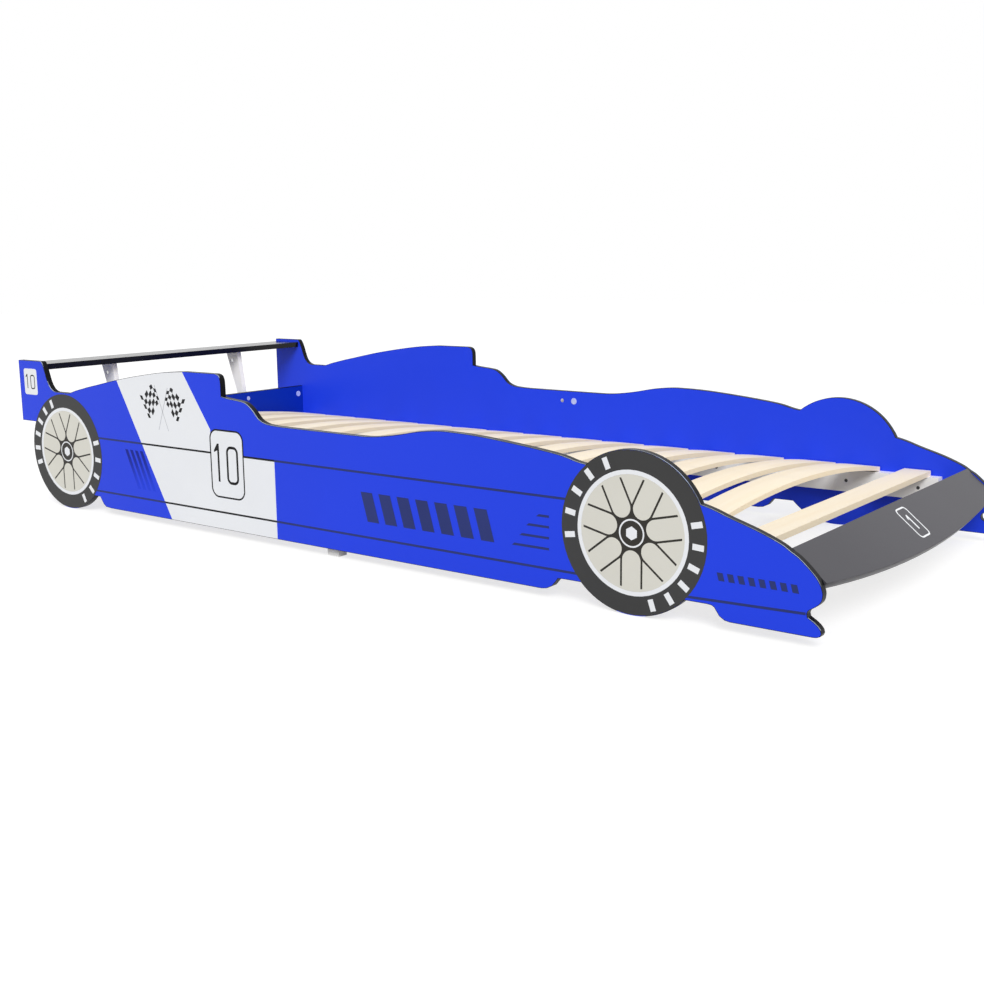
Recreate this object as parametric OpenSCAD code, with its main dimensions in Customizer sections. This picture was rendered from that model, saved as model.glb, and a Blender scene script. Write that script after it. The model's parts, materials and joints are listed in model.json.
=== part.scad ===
// Children's bed in the shape of a low racing car.
// Two long side panels carry a slatted base between them. A headboard and a wing
// board close the rear end, and a sloping nose board closes the front end.
// X runs along the bed towards the nose, Y across it, Z up from the floor.

/* [Side panels] */
// Length of a side panel, from the rear of the wing plate to the tip of the nose
panel_l = 2250; // [2100:10:2400]
// Height of a side panel above the floor
panel_h = 380; // [340:5:420]
// Width of the bed over both side panels
bed_w = 940; // [880:10:1040]
// Thickness of the side panel boards
board_t = 15; // [12:1:19]
// Thickness of the edge band on the boards
edge_t = 1; // [0.5:0.5:2]
// Thickness of the printed film on the outer faces
film_t = 0.3; // [0.2:0.1:0.6]
// Distance from the rear of the panels to the joint between their two halves
seam_x = 1137; // [1000:10:1250]

/* [Wheels] */
// Radius of the printed wheels, which are also the feet of the panels
wheel_r = 150; // [140:2:156]
// Width of the printed tyres, from their outside to the white rim ring
tyre_w = 36; // [28:1:44]
// Width of the white rim ring
rim_ring_w = 8; // [4:1:12]
// Radius of the white hub ring, outside
hub_r = 26; // [20:1:28]
// Width of the white hub ring
hub_ring_w = 3; // [2:0.5:5]
// Width of the white hub nut across its flats
nut_w = 22; // [16:1:28]
// Number of forked spokes
spoke_count = 7; // [5:1:9]
// Width of a thin spoke line
spoke_line_w = 4; // [2:0.5:6]
// Width of the round-ended openings between the spokes
spoke_gap_w = 38; // [30:1:40]

/* [Slatted base] */
// Number of bent slats
slat_count = 15; // [15:1:15]
// Width of a slat along the bed
slat_w = 72; // [50:1:76]
// Thickness of a slat
slat_t = 10; // [8:1:12]
// Height of the crown of a slat above its ends
slat_rise = 38; // [15:1:45]
// Gap between the end of a slat and the side panel
slat_end_gap = 5; // [3:1:10]
// Gap between the headboard and the first slat
head_slat_gap = 31; // [20:1:80]
// Distance from the tip of the panels back to the front edge of the last slat
last_slat_back = 252; // [245:1:290]
// Distance between the last two slats, front edge to front edge
last_slat_pitch = 106; // [100:1:130]
// Width of the flat board in front of the slats
front_slat_w = 59; // [50:1:62]
// Thickness of the flat board in front of the slats
front_slat_t = 12; // [8:1:14]
// Distance from the tip of the panels back to the front edge of the flat board
front_slat_back = 137; // [125:1:145]

/* [Rails and legs] */
// Thickness of the rail that carries the slats
rail_t = 25; // [18:1:30]
// Height of the rail
rail_h = 52; // [40:1:60]
// Height of the top of the rail above the floor
rail_top = 138; // [124:1:142]
// Distance from the tip of the panels back to the front end of the rail
rail_end_back = 113; // [100:1:120]
// Width of a middle leg along the bed
leg_w = 33; // [25:1:45]

/* [Headboard] */
// Distance from the rear of the panels to the front face of the headboard
head_x = 114; // [100:1:124]
// Thickness of the headboard
head_t = 15; // [12:1:18]
// Height of the top of the headboard
head_top = 234; // [210:1:245]
// Height of the underside of the headboard
head_bottom = 62; // [50:1:80]

/* [Wing board] */
// Depth of the wing board along the bed
wing_d = 102; // [90:1:105]
// Thickness of the wing board
wing_t = 15; // [12:1:18]
// Drop of the front lower edge of the wing board below the top of the panels
wing_drop = 23; // [21:1:40]
// Slope of the wing board, rising to the rear
wing_tilt = 0; // [0:0.1:4]
// Distance of each wing post from the middle of the bed
post_y = 226; // [180:1:280]
// Thickness of a wing post
post_t = 15; // [12:1:20]
// Width of a wing post at its foot, along the bed
post_foot_w = 26; // [24:1:40]
// Width of a wing post at its head, along the bed
post_head_w = 49.5; // [44:0.5:56]
// Lean of the front of a wing post to the rear, over its free height
post_lean = 19; // [8:1:24]
// Height of the underside of a wing post
post_foot_z = 130; // [110:1:150]

/* [Nose board] */
// Distance from the tip of the panels back to the rear edge of the nose board
nose_back = 60.5; // [58:0.5:66]
// Height of the rear edge of the nose board
nose_z = 161; // [150:1:164]
// Slope of the nose board, falling to the front
nose_tilt = 40; // [38:0.5:44]
// Length of the nose board down its slope, at the middle
nose_mid_l = 111; // [90:1:115]
// Length of the nose board down its slope, at the side panels
nose_side_l = 79; // [65:0.5:80]
// Thickness of the nose board
nose_t = 15; // [12:1:18]
// Side of the square batten under each end of the nose board
batten_w = 20; // [16:1:24]

/* [Fittings] */
// Diameter of a cam lock
cam_d = 15; // [12:1:15]
// Depth of a cam lock
cam_depth = 11; // [9:0.5:12]
// Distance from the middle of a cam lock to the end of its board
cam_set = 19; // [17:1:24]
// Diameter of the rod that a cam lock pulls
rod_d = 6; // [5:0.5:7]
// Diameter of the wooden dowels
dowel_d = 8; // [6:1:8]
// Length of the wooden dowels
dowel_l = 36; // [30:1:40]
// Diameter of a cover cap
cap_d = 17; // [16:1:19]
// Thickness of a cover cap
cap_t = 1; // [0.6:0.1:1.5]
// Diameter of the wood screws
screw_d = 4; // [3:0.5:4.5]
// Diameter of the heads of the wood screws
screw_head_d = 8; // [7:0.5:9]
// Distance between the screws in the rails
screw_pitch = 166; // [150:1:170]
// Diameter of the pegs that hold the slats
peg_d = 6; // [5:0.5:8]
// Length of the pegs that hold the slats
peg_l = 16; // [14:1:16]
// Diameter of the barrel nuts in the wing posts
nut_d = 10; // [8:0.5:10]
// Clearance round fittings and between boards
fit = 0.1; // [0.05:0.05:0.2]

/* [Hidden] */
// Overrun of cuts past a face
over = 1;
// Facets of round stretches, and of the long bends of the slats and the nose board
$fn = 96;
bend_fn = 1440;
// Steps of each span of a curved outline
span_steps = 6;

// Outer radius of the white rim ring
rim_r = wheel_r - tyre_w;
// Height of the front lower edge of the wing board
wing_z = panel_h - wing_drop;
// Front edge of the first slat and front edge of the last one, from the rear of the panels
first_slat_x = head_x + head_slat_gap + slat_w;
last_slat_x = panel_l - last_slat_back;
slat_pitch = (last_slat_x - last_slat_pitch - first_slat_x) / (slat_count - 2);
// Front edge of the flat board and front end of the rails, from the rear of the panels
front_slat_x = panel_l - front_slat_back;
rail_end_x = panel_l - rail_end_back;
// How far the nose board stands in front of the tips of the panels
nose_reach = max(nose_mid_l * cos(nose_tilt) - nose_back, 0);
// Rear end of the side panels, with the whole bed centred on the origin
rear_x = -(panel_l + nose_reach) / 2;
// Outer and inner faces of the side panel boards, from the middle of the bed
board_out = bed_w / 2 - film_t;
board_in = board_out - board_t;
// Half the room between the panels that a cross board fills
cross_w = board_in - fit;

// Places along the panel and heights on it, as shares of its length and height
rear_wheel_share = 0.086;
front_wheel_share = 0.842;
rear_wheel_x = rear_wheel_share * panel_l;
front_wheel_x = front_wheel_share * panel_l;
// Half of the stretch at the bottom of a wheel where the bare board stands on the floor
foot_half = 30;

// Plate that carries the wing, from its rear lower corner round to the wheel
wing_plate_shares = [
    [0, 0.577], [0, 1], [0.0444, 1], [0.0466, 0.994], [0.0482, 0.98], [0.0497, 0.962],
    [0.0511, 0.942], [0.0525, 0.921], [0.054, 0.895], [0.0558, 0.868], [0.0582, 0.842],
    [0.0604, 0.827], [0.0627, 0.814], [0.0664, 0.803], [0.0704, 0.797], [0.0876, 0.797],
    [0.0876, 0.577]
];
// Rise of the rear deck behind the seat
deck_shares = [
    [0.0667, 0.797], [0.0956, 0.797], [0.1009, 0.803], [0.1111, 0.82], [0.1302, 0.8455],
    [0.1402, 0.858], [0.1533, 0.873], [0.1647, 0.887], [0.1969, 0.924], [0.233, 0.958],
    [0.268, 0.985], [0.3022, 1]
];
// Rounded front corner of the deck
corner_shares = [
    [0.352, 1], [0.3556, 0.995], [0.3583, 0.985], [0.3598, 0.965], [0.3603, 0.94],
    [0.3604, 0.878]
];
// Low side of the seat and the long cockpit edge up to the front wheel
sill_shares = [
    [0.3604, 0.865], [0.368, 0.858], [0.377, 0.853], [0.3866, 0.848], [0.396, 0.838],
    [0.4053, 0.804], [0.4145, 0.752], [0.4238, 0.73], [0.4329, 0.7235], [0.4462, 0.72],
    [0.4751, 0.719], [0.5427, 0.717], [0.5631, 0.7185], [0.5809, 0.729], [0.5982, 0.745],
    [0.6213, 0.7715], [0.644, 0.786], [0.66, 0.787], [0.6818, 0.783], [0.7084, 0.7715],
    [0.7449, 0.75], [0.7747, 0.727], [0.7978, 0.697], [0.842, 0.68]
];
// Bonnet from behind the front wheel to the tip of the nose
bonnet_shares = [
    [0.842, 0.63], [0.9004, 0.573], [0.9262, 0.527], [0.9493, 0.484], [0.9671, 0.442],
    [0.9747, 0.415], [0.9809, 0.393], [0.9876, 0.36], [0.992, 0.335], [0.9955, 0.312],
    [0.9982, 0.285], [0.9996, 0.262], [1, 0.243], [0.999, 0.215], [0.9955, 0.192],
    [0.99, 0.17], [0.9885, 0.153]
];
// Lower lip of the nose
lip_shares = [
    [0.9892, 0.138], [0.9938, 0.122], [0.9971, 0.107], [0.9993, 0.092], [1, 0.076],
    [0.9991, 0.063], [0.9965, 0.056], [0.994, 0.054]
];
// Underside from the nose back to the rear wheel, with a step before each wheel
belly_shares = [
    [0.928, 0.054], [0.9236, 0.058], [0.9191, 0.074], [0.9147, 0.111], [0.9124, 0.118],
    [0.9084, 0.12], [0.7782, 0.117], [0.7720, 0.115], [0.7693, 0.095], [0.7658, 0.071],
    [0.7604, 0.055], [0.7551, 0.05], [0.1636, 0.05], [0.1542, 0.054], [0.1498, 0.071],
    [0.144, 0.117], [0.1347, 0.118], [0.0876, 0.118]
];

// Joints between boards
// Depth that rods and dowels reach into a side panel, and the wood left behind them
bite_margin = 5;
bite = board_t - bite_margin;
// Heights of the joints at the seam, as shares of the panel height
seam_lock_share = 0.649;
seam_dowel_shares = [0.12, 0.53];
// Heights of the joints at the headboard, as shares of its height above its underside
head_lock_shares = [0.28, 0.86];
head_dowel_shares = [0.14, 0.56];
// Places of the joints of the wing board, as shares of its depth from its front edge
wing_lock_share = 0.5;
wing_dowel_shares = [0.2, 0.8];
// Depth and width of the cross slot in a cam lock, and its length as a share of the lock
slot_depth = 2;
slot_w = 2;
slot_share = 0.67;
// Length of the point of a wood screw
screw_point = 5;
// Depth that a wood screw keeps away from the far face of a board
screw_margin = 4;
// Diameter of a cap over a screw head, with the rim that it needs all round
screw_cap_rim = 2;
screw_cap_d = screw_head_d + 2 * screw_cap_rim;
// Distance of the first screw of a rail from its front end, and from the headboard
rail_screw_inset = 44;
rail_screw_start = 20;
// Drop of the upper and rise of the lower screw of a wing post
post_screw_drop = 18.6;
post_screw_rise = 20;
// Distance of the barrel nut below the wing board, and play at its ends
nut_drop = 27;
nut_play = 1;
// Head of the bolt through the wing board
wing_bolt_head_d = 12;
wing_bolt_head_h = 4;
// Part of a slat peg that stands above the rail
peg_stand = 5;
// Ends of the battens, as shares of the length of the nose board at the panels
batten_shares = [0.1, 0.9];
batten_screw_shares = [0.3, 0.75];
batten_lift_share = 0.52;
// Screws of a leg, as shares of its height
leg_screw_shares = [0.4, 0.8];

// Print on the outer faces
// Width of the printed stripes and of the outlines of the number plates
stripe_w = 4.5;
outline_w = 4;
// Heights of the long stripes, as shares of the panel height
stripe_shares = [0.517, 0.156];
// Stripe on the nose
nose_stripe_shares = [[0.85, 0.131], [0.9876, 0.154]];
// White band over the side, between two slanting edges and a level and an upright one
band_shares = [
    [0.1801, 1], [0.3007, 1], [0.3412, 0.658], [0.3412, 0.517], [0.4352, 0.517],
    [0.4352, 0], [0.2763, 0]
];
// Number plate on the side: corner, size and the radius of its corners
plate_shares = [0.3394, 0.2455];
plate_w = 115;
plate_h = 160;
plate_r = 24;
// Number plate on the wing plate
wing_plate_at_shares = [0.0094, 0.7637];
wing_number_w = 58;
wing_number_h = 68.5;
wing_number_r = 7;
// Figures, as shares of the number plate that carries them: the one as an outline, the
// nought by its corner, its size and the radius of its corners
figure_one_shares = [[0.12, 0.69], [0.22, 0.79], [0.275, 0.79], [0.275, 0.235], [0.22, 0.235],
    [0.22, 0.69], [0.12, 0.66]];
figure_nought_shares = [0.485, 0.215, 0.35, 0.555];
figure_round_share = 0.133;
figure_line_share = 0.055;
// Number plate on the nose board: distance from its rear edge, size, radius of its
// corners, width of its outline, and its figure as shares of its width and length
nose_plate_start = 15.5;
nose_plate_l = 73.5;
nose_plate_w = 51;
nose_plate_r = 11;
nose_line_w = 3.5;
nose_one_shares = [[0.36, 0.65], [0.46, 0.75], [0.56, 0.75], [0.56, 0.27], [0.46, 0.27],
    [0.46, 0.66], [0.36, 0.58]];
// Air slots behind the rear wheel
vent_count = 4;
vent_w = 10.5;
vent_pitch = 19.5;
vent_shares = [0.1963, 0.216];
vent_h = 95;
vent_slant = 43;
// Speed bars before the front wheel: length of each, from the lowest up
speed_bar_lengths = [86, 68, 52, 29];
speed_bar_share = 0.7631;
speed_bar_shares = [0.249, 0.304, 0.359, 0.412];
speed_bar_slant = 6;
// Row of slanting blocks on the side, and a small one on the nose
side_block_count = 7;
side_block_w = 32;
side_block_pitch = 50;
side_block_h = 62;
side_block_slant = 18;
side_block_shares = [0.5506, 0.245];
nose_block_count = 8;
nose_block_w = 11;
nose_block_pitch = 19;
nose_block_h = 14;
nose_block_slant = 4;
nose_block_shares = [0.9164, 0.237];
// White marks on the tyres: first angle, step and count of each run
front_marks = [[113.9, 18.5, 5], [-71.2, 16.9, 6]];
rear_marks = [[114.7, 16.4, 6], [-62.2, 19.1, 5]];
mark_w = 11;
mark_h = 22;
// Radius at which the thin spoke lines end, as a share of the inside of the rim ring
line_end_share = 0.953;
// Dark web between the hub ring and the openings
web_w = 5;

// Derived places
seam_lock_z = seam_lock_share * panel_h;
rail_bottom = rail_top - rail_h;
head_front = rear_x + head_x;
head_back = head_front - head_t;
wing_front = rear_x + wing_d * cos(wing_tilt);
nose_x = rear_x + panel_l - nose_back;
slat_half = board_in - slat_end_gap;
slat_bend = (slat_half * slat_half + slat_rise * slat_rise) / (2 * slat_rise);
nose_drop = nose_mid_l - nose_side_l;
nose_bend = (cross_w * cross_w + nose_drop * nose_drop) / (2 * nose_drop);
board_mid = board_in + board_t / 2;
rail_screw_span = rail_end_x - rail_screw_inset - head_x - rail_screw_start;
rail_screw_xs = [for (i = [0 : floor(rail_screw_span / screw_pitch)])
    rear_x + rail_end_x - rail_screw_inset - i * screw_pitch];
tyre_r = wheel_r - edge_t;
post_bolt_x = wing_front - head_back + post_lean + post_head_w / 2;
inner_rim_r = rim_r - rim_ring_w;
fork_angle = 180 / spoke_count;

function sized(shares) = [for (s = shares) [s[0] * panel_l, s[1] * panel_h]];

function span_point(a, b, c, d, t) =
    (2 * b + (c - a) * t + (2 * a - 5 * b + 4 * c - d) * t * t
        + (3 * b - a - 3 * c + d) * t * t * t) / 2;

// Smooth curve through all knots
function curve(k) = let (n = len(k)) concat(
    [for (i = [0 : n - 2], j = [0 : span_steps - 1])
        span_point(k[max(i - 1, 0)], k[i], k[i + 1], k[min(i + 2, n - 1)], j / span_steps)],
    [k[n - 1]]);

// Unit normal of an edge, towards the inside of an outline that runs clockwise
function inward(a, b) = let (d = (b - a) / norm(b - a)) [d[1], -d[0]];

// Outline moved inwards by t, with its corners kept sharp
function inset(pts, t) = let (n = len(pts)) [for (i = [0 : n - 1])
    let (a = inward(pts[(i + n - 1) % n], pts[i]), b = inward(pts[i], pts[(i + 1) % n]))
    pts[i] + t * (a + b) / (1 + a * b)];

body_pts = concat(curve(sized(deck_shares)), curve(sized(corner_shares)),
    curve(sized(sill_shares)), curve(sized(bonnet_shares)), sized(lip_shares),
    sized(belly_shares));
wing_plate_pts = sized(wing_plate_shares);

// Side views of the parts of a panel, moved inwards by t
module body_2d(t) {
    polygon(inset(body_pts, t));
}

module wing_plate_2d(t) {
    polygon(inset(wing_plate_pts, t));
}

module at_wheel(x) {
    translate([x, wheel_r]) children();
}

// The half of a side view behind or in front of the seam
module half_2d(front) {
    intersection() {
        children();
        translate([front ? seam_x : -over, -over])
            square([(front ? panel_l - seam_x : seam_x) + over, panel_h + 2 * over]);
    }
}

// Sheet with the side view of its children, from y outwards on one side of the bed
module slab(side, y, t) {
    translate([rear_x, side > 0 ? y + t : -y, 0]) rotate([90, 0, 0]) linear_extrude(t) children();
}

// Half of a panel without its holes, its edges moved inwards by t
module half_board(side, front, t) {
    slab(side, board_in, board_t) half_2d(front) body_2d(t);
    slab(side, board_in, board_t) at_wheel(front ? front_wheel_x : rear_wheel_x) circle(wheel_r - t);
    if (!front) slab(side, board_in, board_t) wing_plate_2d(t);
}

// The board stands on the floor with its own edge, where the edge band leaves it bare
module foot(side, front) {
    slab(side, board_in, board_t) at_wheel(front ? front_wheel_x : rear_wheel_x) intersection() {
        circle(wheel_r);
        translate([-foot_half, -wheel_r]) square([2 * foot_half, wheel_r]);
    }
}

// Rod along Z from 0 to l
module rod(d, l) {
    cylinder(d = d, h = l);
}

// Points its children outwards, across the bed, on one side
module outwards(side) {
    rotate([side > 0 ? -90 : 90, 0, 0]) children();
}

// Countersunk wood screw with its head at 0, driven along Z
module screw(l, c = 0) {
    head_r = screw_head_d / 2 + c;
    shank_r = screw_d / 2 + c;
    rotate_extrude() polygon([[0, 0], [head_r, 0], [shank_r, head_r - shank_r],
        [shank_r, l - screw_point], [0, l + c]]);
}

// Hole for such a screw, open at its head
module screw_hole(l) {
    screw(l, fit);
    translate([0, 0, -over]) cylinder(d = screw_head_d + 2 * fit, h = over);
}

// Cam lock with a cross slot, its face at 0 and its body along Z
module cam_lock() {
    slot_l = slot_share * cam_d;
    difference() {
        cylinder(d = cam_d, h = cam_depth);
        for (a = [0, 90]) rotate([0, 0, a])
            translate([-slot_l / 2, -slot_w / 2, -over]) cube([slot_l, slot_w, slot_depth + over]);
    }
}

module cam_hole() {
    translate([0, 0, -over]) cylinder(d = cam_d + 2 * fit, h = cam_depth + fit + over);
}

// Places of the cam lock and the nut that pull the halves of a panel together
module at_seam(side, front) {
    translate([rear_x + seam_x + (front ? cam_set : -cam_set), side * board_in, seam_lock_z])
        outwards(side) children();
}

// Places along the seam, pointing to the front, from the middle of a fitting of length l
module in_seam(side, z, l) {
    translate([rear_x + seam_x - l / 2, side * board_mid, z]) rotate([0, 90, 0]) children();
}

// Points outwards at a panel from the end of a cross board
module at_headboard_end(side, share) {
    translate([head_front - head_t / 2, side * board_in,
        head_bottom + share * (head_top - head_bottom)]) outwards(side) children();
}

// The frame of the wing board: its lower front edge, with X up its slope reversed
module on_wing() {
    translate([wing_front, 0, wing_z]) rotate([0, wing_tilt, 0]) children();
}

module at_wing_end(side, share) {
    on_wing() translate([-share * wing_d, side * board_in, wing_t / 2]) outwards(side) children();
}

// The frame of the nose board: the middle of its rear upper edge, with X down its slope
module on_nose() {
    translate([nose_x, 0, nose_z]) rotate([0, nose_tilt, 0]) children();
}

module at_rail_screw(side, x) {
    translate([x, side * (board_in - rail_t), rail_top - rail_h / 2]) outwards(side) children();
}

module at_leg_screw(side, share) {
    translate([rear_x + seam_x + side * leg_w / 4, side * (board_in - rail_t), share * rail_bottom])
        outwards(side) children();
}

module at_batten_screw(side, share) {
    on_nose() translate([share * nose_side_l, side * (board_in - batten_w), -nose_t - batten_w / 2])
        outwards(side) children();
}

module at_batten_lift(side) {
    on_nose() translate([batten_lift_share * nose_side_l, side * (board_in - batten_w / 2),
        -nose_t - batten_w]) children();
}

module at_post_screw(side, z) {
    translate([head_front, side * post_y, z]) rotate([0, -90, 0]) children();
}

function slat_front_x(i) =
    rear_x + (i == slat_count - 1 ? last_slat_x : first_slat_x + i * slat_pitch);

peg_xs = concat([for (i = [0 : slat_count - 1]) slat_front_x(i) - slat_w / 2],
    [rear_x + front_slat_x - front_slat_w / 2]);

module at_peg(side, x) {
    translate([x, side * (board_in - rail_t / 2), rail_top + peg_stand - peg_l]) children();
}

rail_screw_l = rail_t + board_t - screw_margin;
batten_screw_l = batten_w + board_t - screw_margin;
batten_lift_l = batten_w + nose_t - screw_margin;
post_screw_l = head_t + post_foot_w - screw_margin;
post_screw_zs = [head_top - post_screw_drop, post_foot_z + post_screw_rise];

// Everything that is let into a side panel
module panel_holes(side) {
    at_seam(side, true) cam_hole();
    at_seam(side, false) translate([0, 0, -over]) cylinder(d = nut_d + 2 * fit, h = cam_depth + over);
    in_seam(side, seam_lock_z, 2 * cam_set) rod(rod_d + 2 * fit, 2 * cam_set);
    for (s = seam_dowel_shares) in_seam(side, s * panel_h, dowel_l + 2 * fit)
        rod(dowel_d + 2 * fit, dowel_l + 2 * fit);
    for (s = head_lock_shares) at_headboard_end(side, s) translate([0, 0, -over])
        rod(rod_d + 2 * fit, bite + fit + over);
    for (s = head_dowel_shares) at_headboard_end(side, s) translate([0, 0, -over])
        rod(dowel_d + 2 * fit, bite + fit + over);
    at_wing_end(side, wing_lock_share) translate([0, 0, -over]) rod(rod_d + 2 * fit, bite + fit + over);
    for (s = wing_dowel_shares) at_wing_end(side, s) translate([0, 0, -over])
        rod(dowel_d + 2 * fit, bite + fit + over);
    for (x = rail_screw_xs) at_rail_screw(side, x) screw(rail_screw_l, fit);
    for (s = leg_screw_shares) at_leg_screw(side, s) screw(rail_screw_l, fit);
    for (s = batten_screw_shares) at_batten_screw(side, s) screw(batten_screw_l, fit);
}

module panel(side, front) {
    color([0.11, 0.22, 0.86]) difference() {
        union() {
            half_board(side, front, edge_t);
            foot(side, front);
        }
        panel_holes(side);
    }
}

module panel_right_rear() panel(-1, false);
module panel_right_front() panel(-1, true);
module panel_left_rear() panel(1, false);
module panel_left_front() panel(1, true);

// Edge band round the body, the wheel and the wing plate, each where the others leave it
module edging(side, front) {
    x = front ? front_wheel_x : rear_wheel_x;
    color([0.07, 0.07, 0.08]) {
        slab(side, board_in, board_t) half_2d(front) difference() {
            body_2d(0);
            body_2d(edge_t);
            at_wheel(x) circle(wheel_r);
            if (!front) wing_plate_2d(0);
        }
        slab(side, board_in, board_t) difference() {
            at_wheel(x) circle(wheel_r);
            at_wheel(x) circle(wheel_r - edge_t);
            body_2d(edge_t);
            if (!front) wing_plate_2d(edge_t);
            translate([x - foot_half, 0]) square([2 * foot_half, wheel_r]);
        }
        if (!front) slab(side, board_in, board_t) difference() {
            wing_plate_2d(0);
            wing_plate_2d(edge_t);
            at_wheel(x) circle(wheel_r);
            body_2d(edge_t);
        }
    }
}

module edging_right_rear() edging(-1, false);
module edging_right_front() edging(-1, true);
module edging_left_rear() edging(1, false);
module edging_left_front() edging(1, true);

// Fittings at both ends of a cross board are cut out of it
module headboard() {
    color([0.08, 0.16, 0.8]) difference() {
        translate([head_back, -cross_w, head_bottom])
            cube([head_t, 2 * cross_w, head_top - edge_t - head_bottom]);
        for (side = [-1, 1]) {
            for (s = head_lock_shares) {
                at_headboard_end(side, s) translate([0, 0, -cam_set]) rod(rod_d + 2 * fit, cam_set + over);
                head_cam(side, s) cam_hole();
            }
            for (s = head_dowel_shares) at_headboard_end(side, s)
                translate([0, 0, bite - dowel_l - fit]) rod(dowel_d + 2 * fit, dowel_l);
            for (z = post_screw_zs) at_post_screw(side, z) screw_hole(post_screw_l);
        }
    }
}

// Place of a cam lock in the front of the headboard, pointing into the board
module head_cam(side, share) {
    translate([head_front, side * (board_in - cam_set),
        head_bottom + share * (head_top - head_bottom)]) rotate([0, -90, 0]) children();
}

module headboard_edging() {
    color([0.07, 0.07, 0.08]) translate([head_back, -cross_w, head_top - edge_t])
        cube([head_t, 2 * cross_w, edge_t]);
}

// Place of a cam lock in the underside of the wing board
module wing_cam(side) {
    on_wing() translate([-wing_lock_share * wing_d, side * (board_in - cam_set), 0]) children();
}

// Place of the bolt into a wing post, on the underside of the wing board
module at_wing_bolt(side) {
    on_wing() translate([-post_bolt_x, side * post_y, 0]) children();
}

module wing_board() {
    color([0.09, 0.09, 0.1]) difference() {
        on_wing() translate([-wing_d, -cross_w, 0]) cube([wing_d, 2 * cross_w, wing_t]);
        for (side = [-1, 1]) {
            wing_cam(side) cam_hole();
            at_wing_end(side, wing_lock_share) translate([0, 0, -cam_set])
                rod(rod_d + 2 * fit, cam_set + over);
            for (s = wing_dowel_shares) at_wing_end(side, s)
                translate([0, 0, bite - dowel_l - fit]) rod(dowel_d + 2 * fit, dowel_l);
            at_wing_bolt(side) wing_bolt_hole();
        }
    }
}

// Bolt with a flat round head let into the top of the wing board
module wing_bolt(c = 0) {
    translate([0, 0, nut_d / 2 - nut_drop]) cylinder(d = rod_d + 2 * c, h = nut_drop - nut_d / 2 + wing_t);
    translate([0, 0, wing_t - wing_bolt_head_h - c])
        cylinder(d = wing_bolt_head_d + 2 * c, h = wing_bolt_head_h + c);
}

module wing_bolt_hole() {
    wing_bolt(fit);
    translate([0, 0, wing_t]) cylinder(d = wing_bolt_head_d + 2 * fit, h = over);
}

// Height of the underside of the wing board at x
function wing_under(x) = wing_z + (wing_front - x) * tan(wing_tilt);

module wing_post(side) {
    head_front_x = head_back - post_lean;
    head_rear_x = head_front_x - post_head_w;
    foot_rear_x = head_back - post_foot_w;
    color([0.93, 0.93, 0.91]) difference() {
        translate([0, side * post_y + post_t / 2, 0]) rotate([90, 0, 0]) linear_extrude(post_t)
            polygon([[head_back, post_foot_z], [head_back, head_top],
                [head_front_x, wing_under(head_front_x)], [head_rear_x, wing_under(head_rear_x)],
                [foot_rear_x, head_top], [foot_rear_x, post_foot_z]]);
        at_wing_bolt(side) {
            wing_bolt(fit);
            translate([0, post_t / 2 + over, -nut_drop]) rotate([90, 0, 0])
                cylinder(d = nut_d + 2 * fit, h = post_t + 2 * over);
        }
        for (z = post_screw_zs) at_post_screw(side, z) screw(post_screw_l, fit);
    }
}

module wing_post_right() wing_post(-1);
module wing_post_left() wing_post(1);

module rail(side) {
    y = side > 0 ? board_in - rail_t : -board_in;
    color([0.95, 0.95, 0.94]) difference() {
        translate([head_front, y, rail_bottom]) cube([rail_end_x - head_x, rail_t, rail_h]);
        for (x = rail_screw_xs) at_rail_screw(side, x) screw_hole(rail_screw_l);
        for (x = peg_xs) at_peg(side, x) translate([0, 0, -fit]) rod(peg_d + 2 * fit, peg_l + over);
    }
}

module rail_right() rail(-1);
module rail_left() rail(1);

module leg(side) {
    y = side > 0 ? board_in - rail_t : -board_in;
    color([0.95, 0.95, 0.94]) difference() {
        translate([rear_x + seam_x - leg_w / 2, y, 0]) cube([leg_w, rail_t, rail_bottom]);
        for (s = leg_screw_shares) at_leg_screw(side, s) screw_hole(rail_screw_l);
    }
}

module leg_right() leg(-1);
module leg_left() leg(1);

// Bent slat, resting on the rails with its two ends
module slat(i) {
    color([0.93, 0.82, 0.64]) difference() {
        translate([slat_front_x(i) - slat_w, 0, rail_top + slat_rise - slat_bend])
            rotate([90, 0, 90]) linear_extrude(slat_w) intersection() {
                difference() {
                    circle(slat_bend + slat_t, $fn = bend_fn);
                    circle(slat_bend, $fn = bend_fn);
                }
                translate([-slat_half, slat_bend - 2 * slat_rise])
                    square([2 * slat_half, 2 * slat_rise + 2 * slat_t]);
            }
        for (side = [-1, 1]) at_peg(side, peg_xs[i]) rod(peg_d + 2 * fit, peg_l + fit);
    }
}

module slat_01() slat(0);
module slat_02() slat(1);
module slat_03() slat(2);
module slat_04() slat(3);
module slat_05() slat(4);
module slat_06() slat(5);
module slat_07() slat(6);
module slat_08() slat(7);
module slat_09() slat(8);
module slat_10() slat(9);
module slat_11() slat(10);
module slat_12() slat(11);
module slat_13() slat(12);
module slat_14() slat(13);
module slat_15() slat(14);

module front_slat() {
    color([0.93, 0.82, 0.64]) difference() {
        translate([rear_x + front_slat_x - front_slat_w, -slat_half, rail_top])
            cube([front_slat_w, 2 * slat_half, front_slat_t]);
        for (side = [-1, 1]) at_peg(side, peg_xs[slat_count]) rod(peg_d + 2 * fit, peg_l + fit);
    }
}

// Plan of the nose board with its curved front edge, moved back by t
module nose_plan(t) {
    intersection() {
        translate([nose_mid_l - nose_bend, 0]) circle(nose_bend - t, $fn = bend_fn);
        translate([0, -cross_w]) square([nose_mid_l, 2 * cross_w]);
    }
}

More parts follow.
